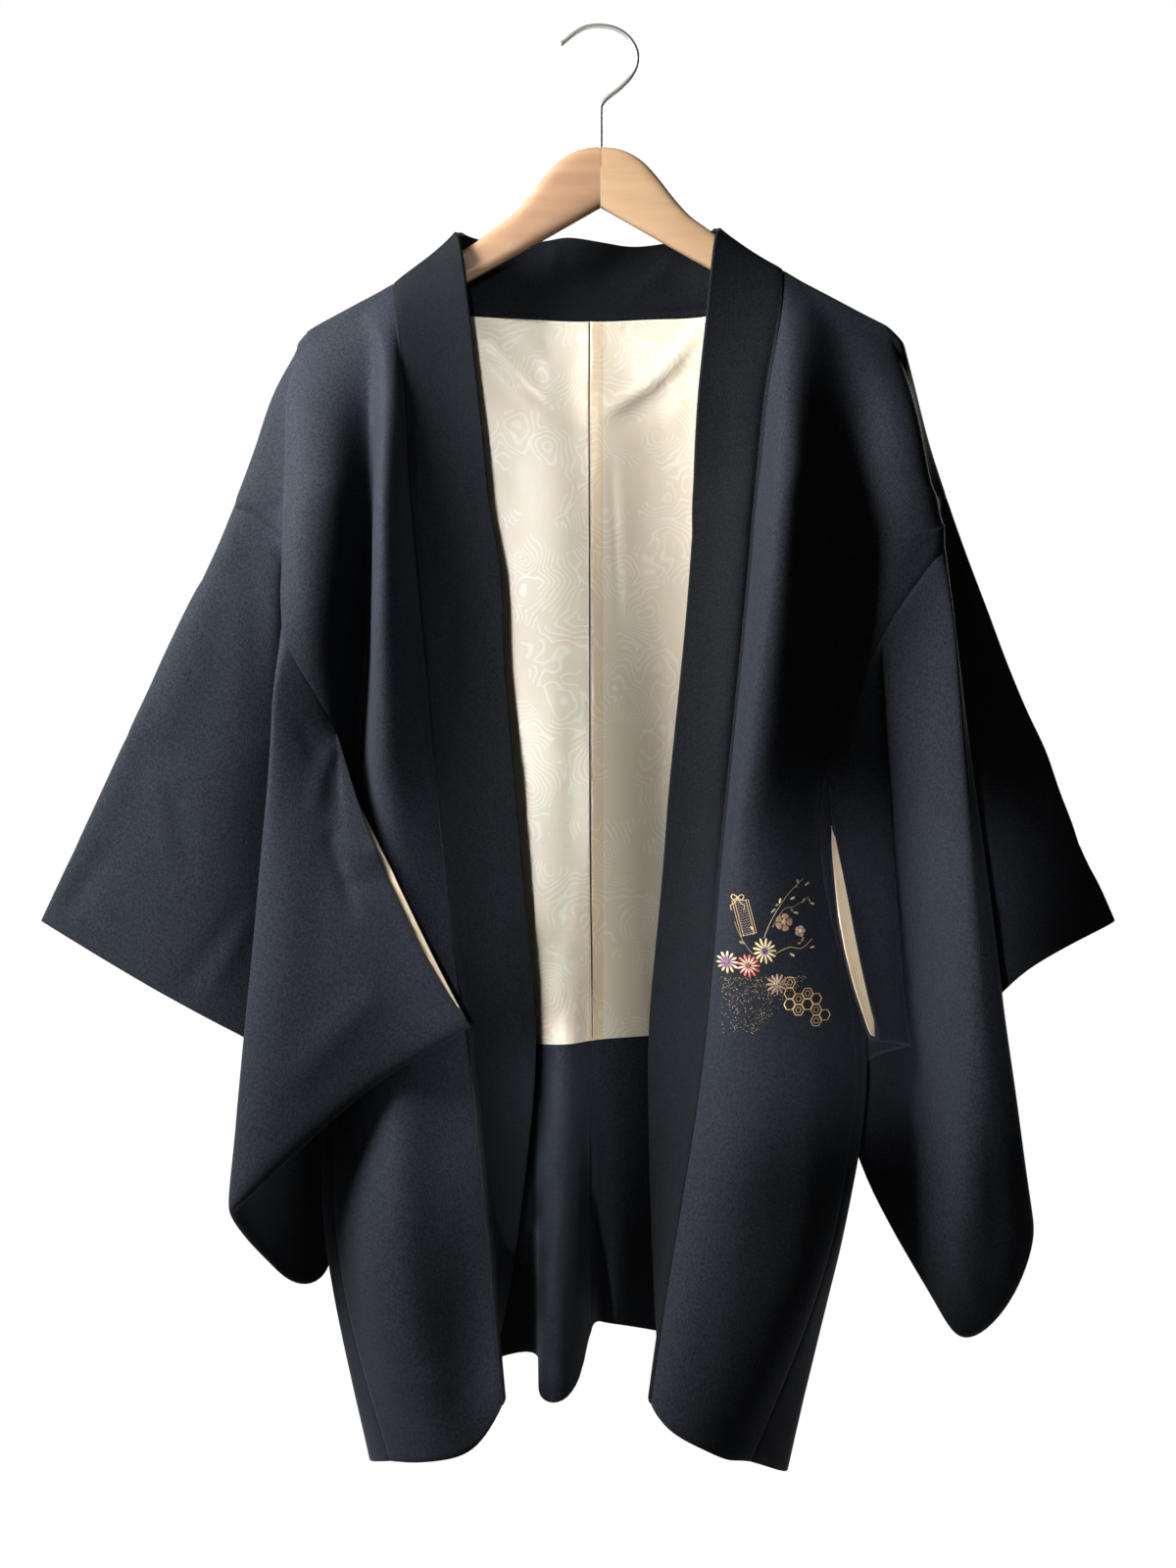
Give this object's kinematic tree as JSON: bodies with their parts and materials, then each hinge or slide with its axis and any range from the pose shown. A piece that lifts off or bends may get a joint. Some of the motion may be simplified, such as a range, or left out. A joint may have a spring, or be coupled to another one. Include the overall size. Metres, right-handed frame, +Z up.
{
  "type": "haori jacket on a hanger",
  "caption": "Open-fronted kimono jacket hanging from a wooden hanger with a wire hook, its wide sleeves folded in soft drapes.",
  "frame": {"origin": "inside top of the hanger's hook, where a rail carries it", "axes": "+Z up, -Y the jacket's front, -X the wearer's right"},
  "size_m": [0.7841, 0.2148, 1.0334],
  "materials": {
    "cloth": "fine navy-black silk crepe with a soft sheen",
    "collar": "the same crepe, folded double",
    "lining": "cream silk with a tone-on-tone woven cloud pattern",
    "right_wood": "smooth clear-finished beech, slanting grain",
    "left_wood": "smooth clear-finished beech, straight grain",
    "steel": "satin nickel wire"
  },
  "bodies": {
    "root": {"front_right": "cloth", "front_left": "cloth", "back_right": "cloth", "back_left": "cloth", "gusset_right": "cloth", "gusset_left": "cloth", "sleeve_right": "cloth", "sleeve_left": "cloth", "collar": "collar", "lining_right": "lining", "lining_left": "lining", "sleeve_lining_right": "lining", "sleeve_lining_left": "lining", "hanger_right_arm": "right_wood", "hanger_left_arm": "left_wood", "hanger_hook": "steel"}
  },
  "joints": []
}
